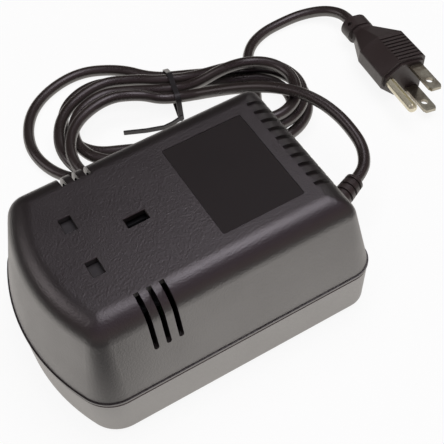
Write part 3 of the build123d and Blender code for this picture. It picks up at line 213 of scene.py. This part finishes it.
def plug_point(forward, side, up):
    """A point given in the plug's frame, in millimetres."""
    return PLUG_NOSE + PLUG_AXIS * forward + PLUG_SIDE * side + PLUG_UP * up


plug_cord_end = plug_point(*PLUG_CORD_END)
hank_along = hank_point(1, 0, 0) - hank_point(0, 0, 0)
first_y, first_level = TIE_STRANDS[0]
hank_start = hank_point(TIE_STATION, first_y, level_height(first_level) + TIE_LIFT)
hank_end = hank_point(*HANK_EXIT, TABLE_LEVEL)
cord_points = [BOOT_TIP, BOOT_TIP + BOOT_DIRECTION * BOOT_RUN]
cord_points += [Vector(p) for p in LEAD_ROUTE]
cord_points += [hank_start + hank_along * TIE_RUN + Vector((0, 0, TIE_RUN_RISE))]
cord_points += hank_points()
cord_points += [hank_end, hank_end + hank_along * HANK_RUN]
cord_points += [Vector(p) for p in TAIL_ROUTE]
cord_points += [plug_cord_end - PLUG_AXIS * PLUG_RUN, plug_cord_end]

# The bevel is one metre, so each point's radius is the cord's own
CORD_SIDE_STEPS = 5
CORD_LENGTH_STEPS = 10
cord_curve = bpy.data.curves.new("power_lead", "CURVE")
cord_curve.dimensions = "3D"
cord_curve.bevel_depth = 1.0
cord_curve.bevel_resolution = CORD_SIDE_STEPS
cord_curve.resolution_u = CORD_LENGTH_STEPS
cord_curve.use_fill_caps = True
spline = cord_curve.splines.new("NURBS")
spline.points.add(len(cord_points) - 1)
for place, point in zip(spline.points, cord_points):
    place.co = (*(point * MM), 1.0)
    place.radius = CORD_DIAMETER / 2 * MM
spline.order_u = 3
spline.use_endpoint_u = True
power_lead = add_object("power_lead", cord_curve)
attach(power_lead, CASE)
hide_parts("mains_lead", "lead_hank", "lead_tail")

# The shutter's return spring, on its own copy of the part's mesh, carried with the case
return_spring = add_object("return_spring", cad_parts["shutter_spring"].data.copy())
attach(return_spring, CASE)
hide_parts("shutter_spring")
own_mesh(return_spring)

# Materials: the span in which most of a noise lies, and the sockets of a colour mix
NOISE_SPAN = (0.3, 0.7)
MIX_SHARE, MIX_FIRST, MIX_SECOND = 0, 6, 7
MIX_COLOR = 2


def new_material(name, color, roughness, metallic=0.0, specular=0.5):
    """A material with its shader and output; returns it, its tree and its shader."""
    material = bpy.data.materials.new(name)
    material.use_nodes = True
    tree = material.node_tree
    shader = tree.nodes["Principled BSDF"]
    shader.inputs["Base Color"].default_value = (*color, 1)
    shader.inputs["Roughness"].default_value = roughness
    shader.inputs["Metallic"].default_value = metallic
    shader.inputs["Specular IOR Level"].default_value = specular
    return material, tree, shader


def add_noise(tree, scale, detail, roughness=0.5, stretch=None):
    """Noise in object space, with features 1/scale metres across, stretched on demand."""
    place = tree.nodes.new("ShaderNodeTexCoord").outputs["Object"]
    if stretch:
        mapping = tree.nodes.new("ShaderNodeMapping")
        mapping.inputs["Scale"].default_value = stretch
        tree.links.new(place, mapping.inputs["Vector"])
        place = mapping.outputs["Vector"]
    noise = tree.nodes.new("ShaderNodeTexNoise")
    noise.inputs["Scale"].default_value = scale
    noise.inputs["Detail"].default_value = detail
    noise.inputs["Roughness"].default_value = roughness
    tree.links.new(place, noise.inputs["Vector"])
    return noise.outputs["Fac"]


def add_bump(tree, shader, height, strength, distance):
    """Bump from a height output, in metres at full strength."""
    bump = tree.nodes.new("ShaderNodeBump")
    bump.inputs["Strength"].default_value = strength
    bump.inputs["Distance"].default_value = distance
    tree.links.new(height, bump.inputs["Height"])
    tree.links.new(bump.outputs["Normal"], shader.inputs["Normal"])


def add_range(tree, value, source, target, smooth=False):
    """Maps a value from one range to another, each a pair of limits."""
    remap = tree.nodes.new("ShaderNodeMapRange")
    if smooth:
        remap.interpolation_type = "SMOOTHSTEP"
    names = ("From Min", "From Max", "To Min", "To Max")
    for name, limit in zip(names, (*source, *target)):
        remap.inputs[name].default_value = limit
    tree.links.new(value, remap.inputs["Value"])
    return remap.outputs["Result"]


def feed(tree, value, socket):
    """Links an output to a socket, or sets the socket to a number or colour."""
    if isinstance(value, bpy.types.NodeSocket):
        tree.links.new(value, socket)
    else:
        socket.default_value = value


def add_math(tree, operation, first, second):
    """One step of arithmetic on outputs or numbers."""
    step = tree.nodes.new("ShaderNodeMath")
    step.operation = operation
    feed(tree, first, step.inputs[0])
    feed(tree, second, step.inputs[1])
    return step.outputs[0]


def add_mix(tree, share, first, second):
    """Blends two colours, each an output or four numbers, by a share."""
    mix = tree.nodes.new("ShaderNodeMix")
    mix.data_type = "RGBA"
    tree.links.new(share, mix.inputs[MIX_SHARE])
    feed(tree, first, mix.inputs[MIX_FIRST])
    feed(tree, second, mix.inputs[MIX_SECOND])
    return mix.outputs[MIX_COLOR]


def add_patches(tree, shader, noise, colors, gloss):
    """Varies the base colour between two colours, and the roughness in a range."""
    first, second = colors
    color = add_mix(tree, noise, (*first, 1), (*second, 1))
    tree.links.new(color, shader.inputs["Base Color"])
    roughness = add_range(tree, noise, NOISE_SPAN, gloss)
    tree.links.new(roughness, shader.inputs["Roughness"])


def moulded(name, colors, gloss, grain, depth, patch=60.0, ior=1.5):
    """Moulded plastic or rubber: fine grain, slow patches of colour and of gloss."""
    material, tree, shader = new_material(name, colors[0], gloss[0])
    shader.inputs["IOR"].default_value = ior
    patches = add_noise(tree, patch, detail=4.0)
    add_patches(tree, shader, patches, colors, gloss)
    fine = add_noise(tree, grain, detail=2.0, roughness=0.6)
    add_bump(tree, shader, fine, strength=1.0, distance=depth)
    return material


def metal(name, colors, gloss, scale=900.0, stretch=(1, 1, 1), share=1.0):
    """Metal with faint handling marks; a share under 1 is a satin plating."""
    material, tree, shader = new_material(name, colors[0], gloss[0], metallic=share)
    marks = add_noise(tree, scale, detail=6.0, roughness=0.6, stretch=stretch)
    add_patches(tree, shader, marks, colors, gloss)
    add_bump(tree, shader, marks, strength=0.15, distance=0.00002)
    return material


# Painted shade on the blades: darker towards their roots, mixed with random dark patches
SHADE_AND_TARNISH_COLOR = (0.22, 0.19, 0.15, 1)
TARNISH_SCALE = 260.0
ROOT_SHADE_SLOPE = (-0.14, 0.14)
SHADE_AND_TARNISH_SPAN = (0.32, 0.72)


def shade_and_tarnish(material):
    """Darkens the plating of the blades in patches, and paints shade that grows towards their
    roots.
    """
    tree = material.node_tree
    base = tree.nodes["Principled BSDF"].inputs["Base Color"]
    plating = base.links[0].from_socket
    along = tree.nodes.new("ShaderNodeVectorMath")
    along.operation = "DOT_PRODUCT"
    along.inputs[1].default_value = PLUG_AXIS
    place = tree.nodes.new("ShaderNodeTexCoord").outputs["Object"]
    tree.links.new(place, along.inputs[0])
    root = PLUG_NOSE.dot(PLUG_AXIS) * MM
    blade = (root, root + BLADE_LENGTH * MM)
    slope = add_range(tree, along.outputs["Value"], blade, ROOT_SHADE_SLOPE)
    patches = add_noise(tree, TARNISH_SCALE, detail=3.0)
    shade_and_wear = add_math(tree, "ADD", slope, patches)
    plating_share = add_range(tree, shade_and_wear, SHADE_AND_TARNISH_SPAN, (0, 1), smooth=True)
    tree.links.new(add_mix(tree, plating_share, SHADE_AND_TARNISH_COLOR, plating), base)


case_black = moulded(
    "case_black",
    colors=((0.015, 0.0125, 0.0125), (0.020, 0.0170, 0.0165)),
    gloss=(0.31, 0.38),
    grain=1300.0,
    depth=0.00012,
    ior=2.6,
)
# Paler copy of the case plastic: its lighter colour is painted light for the floor's brighter
# reflection on the lower shell
lower_black_lit = moulded(
    "lower_black_lit",
    colors=((0.032, 0.030, 0.027), (0.038, 0.035, 0.031)),
    gloss=(0.31, 0.38),
    grain=1300.0,
    depth=0.00010,
    ior=3.4,
)
label_black = moulded(
    "label_black",
    colors=((0.013, 0.011, 0.011), (0.017, 0.014, 0.014)),
    gloss=(0.44, 0.52),
    grain=5200.0,
    depth=0.00001,
)
foot_black = moulded(
    "foot_black",
    colors=((0.022, 0.022, 0.022), (0.030, 0.029, 0.028)),
    gloss=(0.65, 0.8),
    grain=3200.0,
    depth=0.00003,
)
cord_black = moulded(
    "cord_black",
    colors=((0.021, 0.016, 0.015), (0.031, 0.024, 0.022)),
    gloss=(0.24, 0.33),
    grain=1800.0,
    depth=0.00002,
    patch=90.0,
    ior=2.1,
)
plug_black = moulded(
    "plug_black",
    colors=((0.029, 0.021, 0.020), (0.036, 0.027, 0.026)),
    gloss=(0.36, 0.46),
    grain=2200.0,
    depth=0.00003,
    patch=120.0,
    ior=1.8,
)
tie_black = moulded(
    "tie_black",
    colors=((0.018, 0.017, 0.018), (0.028, 0.026, 0.027)),
    gloss=(0.28, 0.4),
    grain=2400.0,
    depth=0.00002,
    patch=200.0,
)
shutter_black = moulded(
    "shutter_black",
    colors=((0.030, 0.028, 0.030), (0.038, 0.035, 0.037)),
    gloss=(0.45, 0.55),
    grain=2600.0,
    depth=0.00002,
)
carrier_black = moulded(
    "carrier_black",
    colors=((0.018, 0.018, 0.020), (0.024, 0.024, 0.026)),
    gloss=(0.5, 0.6),
    grain=2200.0,
    depth=0.00003,
)
nickel = metal(
    "nickel",
    colors=((0.33, 0.31, 0.25), (0.54, 0.52, 0.44)),
    gloss=(0.14, 0.26),
    scale=500.0,
    stretch=(1, 4, 1),
    share=0.85,
)
shade_and_tarnish(nickel)
pin_brass = metal(
    "pin_brass",
    colors=((0.76, 0.71, 0.53), (0.88, 0.84, 0.66)),
    gloss=(0.12, 0.22),
    scale=500.0,
    stretch=(1, 4, 1),
    share=0.6,
)
steel = metal("steel", colors=((0.50, 0.50, 0.52), (0.62, 0.62, 0.63)), gloss=(0.25, 0.4))
core_steel = metal(
    "core_steel",
    colors=((0.16, 0.16, 0.18), (0.26, 0.26, 0.28)),
    gloss=(0.4, 0.55),
    scale=700.0,
    stretch=(8, 1, 1),
)
spring_steel = metal(
    "spring_steel", colors=((0.55, 0.55, 0.57), (0.66, 0.66, 0.68)), gloss=(0.18, 0.3)
)
contact_brass = metal(
    "contact_brass", colors=((0.62, 0.44, 0.16), (0.72, 0.53, 0.24)), gloss=(0.22, 0.36)
)
copper = metal(
    "copper",
    colors=((0.45, 0.16, 0.07), (0.55, 0.22, 0.10)),
    gloss=(0.25, 0.38),
    scale=1500.0,
    stretch=(1, 1, 9),
)
nylon = moulded(
    "nylon",
    colors=((0.72, 0.70, 0.62), (0.78, 0.76, 0.68)),
    gloss=(0.4, 0.5),
    grain=1500.0,
    depth=0.00002,
)
tape_yellow = moulded(
    "tape_yellow",
    colors=((0.55, 0.36, 0.04), (0.63, 0.42, 0.06)),
    gloss=(0.3, 0.4),
    grain=900.0,
    depth=0.00003,
)
fuse_white = moulded(
    "fuse_white",
    colors=((0.55, 0.55, 0.52), (0.62, 0.62, 0.58)),
    gloss=(0.35, 0.45),
    grain=1500.0,
    depth=0.00001,
)


def insulation(name, colors):
    """Smooth coloured plastic of a wire."""
    return moulded(name, colors, gloss=(0.3, 0.4), grain=1500.0, depth=0.00001)


wire_brown = insulation("wire_brown", ((0.12, 0.04, 0.015), (0.15, 0.055, 0.02)))
wire_blue = insulation("wire_blue", ((0.02, 0.06, 0.30), (0.03, 0.08, 0.36)))
wire_green = insulation("wire_green", ((0.04, 0.22, 0.04), (0.06, 0.28, 0.05)))


def assign(thing, material):
    """Gives an object one material in place of those it has."""
    thing.data.materials.clear()
    thing.data.materials.append(material)


assign(power_lead, cord_black)
assign(return_spring, spring_steel)
NODE_MATERIALS = {
    "upper_case": case_black,
    "lower_case": lower_black_lit,
    "rating_label": label_black,
    "rubber_feet": foot_black,
    "case_screws": steel,
    "core_e_laminations": core_steel,
    "core_i_laminations": core_steel,
    "coil_bobbin": nylon,
    "primary_winding": copper,
    "secondary_winding": copper,
    "winding_tape": tape_yellow,
    "transformer_frame": steel,
    "frame_screws": steel,
    "thermal_fuse": fuse_white,
    "solder_tags": contact_brass,
    "socket_carrier": carrier_black,
    "live_contact": contact_brass,
    "neutral_contact": contact_brass,
    "earth_contact": contact_brass,
    "carrier_screws": steel,
    "shutter": shutter_black,
    "strain_relief": plug_black,
    "hank_tie": tie_black,
    "plug_body": plug_black,
    "line_blade": nickel,
    "neutral_blade": nickel,
    "ground_pin": pin_brass,
    "input_line_wire": wire_brown,
    "input_neutral_wire": wire_blue,
    "output_live_wire": wire_brown,
    "output_neutral_wire": wire_blue,
    "earth_wire": wire_green,
}
for node, material in NODE_MATERIALS.items():
    assign(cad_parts[node], material)

# Floor: each fade has a centre, the distances where it starts and ends, and two levels. In
# reflections the floor glows with a painted pool of light round the part.
FLOOR_HALF = 4.0
FLOOR_COLOR = (0.86, 0.86, 0.86)
FLOOR_WHITE_SHARE = 0.9
# Painted light: the floor's glow in reflections, strongest round the part and fading away from
# it, tinted warm
PAINTED_GLOW_POOL = ((0.0, 0.0, 0.0), (0.15, 0.25), (1.0, 0.05))
# Painted shadow: a dark patch in the floor's glow in front of the case's near-left corner, which
# shades that corner's reflection
PAINTED_CORNER_SHADOW = ((-0.128, -0.16, 0.0), (0.08, 0.14), (0.03, 1.0))
PAINTED_GLOW_TINT = (1.0, 0.95, 0.90, 1)
WHITE = (1, 1, 1, 1)
EYE = ("Is Camera Ray",)
EYE_AND_GLOSS = ("Is Camera Ray", "Is Glossy Ray", "Is Transmission Ray")


def view_ray(tree, kinds):
    """A value that is 1 for rays of the named kinds and 0 for others."""
    light_path = tree.nodes.new("ShaderNodeLightPath")
    found = light_path.outputs[kinds[0]]
    for kind in kinds[1:]:
        found = add_math(tree, "MAXIMUM", found, light_path.outputs[kind])
    return found


def mix_shaders(tree, share, first, second, output):
    """Blends two shaders by a share and feeds them to the tree's output node."""
    mix = tree.nodes.new("ShaderNodeMixShader")
    tree.links.new(share, mix.inputs[0])
    tree.links.new(first.outputs[0], mix.inputs[1])
    tree.links.new(second.outputs[0], mix.inputs[2])
    tree.links.new(mix.outputs[0], tree.nodes[output].inputs["Surface"])


def floor_fade(tree, center, reach, levels):
    """A level that changes with the distance from a point of the floor."""
    geometry = tree.nodes.new("ShaderNodeNewGeometry")
    away = tree.nodes.new("ShaderNodeVectorMath")
    away.operation = "DISTANCE"
    away.inputs[1].default_value = center
    tree.links.new(geometry.outputs["Position"], away.inputs[0])
    return add_range(tree, away.outputs["Value"], reach, levels, smooth=True)


def floor_material():
    """A pale floor with a soft shadow: white to the eye; in gloss it glows with a painted pool of
    light near the part, dimmed by a painted shadow patch before the near-left corner.
    """
    material, tree, shader = new_material(
        "floor_white", FLOOR_COLOR, roughness=0.9, specular=0.1
    )
    glow_pool = floor_fade(tree, *PAINTED_GLOW_POOL)
    corner_shadow = floor_fade(tree, *PAINTED_CORNER_SHADOW)
    lit = add_math(tree, "MULTIPLY", glow_pool, corner_shadow)
    seen = view_ray(tree, EYE)
    glow = tree.nodes.new("ShaderNodeEmission")
    tree.links.new(add_mix(tree, seen, PAINTED_GLOW_TINT, WHITE), glow.inputs["Color"])
    tree.links.new(add_math(tree, "MAXIMUM", lit, seen), glow.inputs["Strength"])
    share = add_math(tree, "MULTIPLY", view_ray(tree, EYE_AND_GLOSS), FLOOR_WHITE_SHARE)
    mix_shaders(tree, share, shader, glow, "Material Output")
    return material


floor_mesh = bpy.data.meshes.new("floor")
floor_corners = [(-1, -1), (1, -1), (1, 1), (-1, 1)]
floor_mesh.from_pydata(
    [(x * FLOOR_HALF, y * FLOOR_HALF, 0) for x, y in floor_corners], [], [(0, 1, 2, 3)]
)
floor = add_object("floor", floor_mesh)
floor.data.materials.append(floor_material())

# World: dim, brighter on the near side; the camera sees it white all over
SKY_STOPS = [
    (0.02, (0.06, 0.06, 0.06, 1)),
    (0.12, (0.06, 0.045, 0.04, 1)),
    (0.75, (0.035, 0.024, 0.034, 1)),
]
SKY_SIDES = (-0.6, 0.5)
SKY_STRENGTHS = (3.0, 0.1)

world = bpy.data.worlds.new("world")
bpy.context.scene.world = world
world.use_nodes = True
sky_tree = world.node_tree
sky = sky_tree.nodes["Background"]
direction = sky_tree.nodes.new("ShaderNodeTexCoord")
split = sky_tree.nodes.new("ShaderNodeSeparateXYZ")
sky_tree.links.new(direction.outputs["Generated"], split.inputs[0])
ramp = sky_tree.nodes.new("ShaderNodeValToRGB")
stops = ramp.color_ramp.elements
stops.new(SKY_STOPS[-1][0])
for stop, (position, color) in zip(stops, SKY_STOPS):
    stop.position = position
    stop.color = color
sky_tree.links.new(split.outputs["Z"], ramp.inputs[0])
sky_tree.links.new(ramp.outputs[0], sky.inputs["Color"])
strength = add_range(sky_tree, split.outputs["Y"], SKY_SIDES, SKY_STRENGTHS)
sky_tree.links.new(strength, sky.inputs["Strength"])
plain_sky = sky_tree.nodes.new("ShaderNodeBackground")
plain_sky.inputs["Color"].default_value = WHITE
mix_shaders(sky_tree, view_ray(sky_tree, EYE), sky, plain_sky, "World Output")

# Square lamps that face the part: name, place, side, watts, colour, shown in its gloss
LAMP_AIM = Vector((0, 0, 0.03))
LAMPS = [
    ("front", (0.38, -0.02, 1.33), 0.6, 1.7, (0.96, 0.89, 0.97), True),
    ("left", (-1.1, 0.75, 1.0), 0.9, 1.6, (1.0, 0.90, 0.92), True),
    ("right_back", (1.05, 0.9, 0.7), 0.45, 0.25, (1.0, 0.98, 0.96), True),
    ("edge", (0.38, 0.46, 1.33), 0.5, 0.6, (0.97, 0.87, 0.96), True),
    ("fill", (0.1, -0.1, 1.6), 1.6, 24.0, (1.0, 1.0, 1.0), False),
]
for name, place, side, watts, color, in_gloss in LAMPS:
    lamp_data = bpy.data.lights.new(name, "AREA")
    lamp_data.shape = "SQUARE"
    lamp_data.size = side
    lamp_data.energy = watts
    lamp_data.color = color
    lamp = add_object(name, lamp_data)
    lamp.location = place
    lamp.rotation_euler = (LAMP_AIM - Vector(place)).to_track_quat("-Z", "Y").to_euler()
    lamp.visible_glossy = in_gloss

bpy.context.scene.view_settings.view_transform = "Standard"
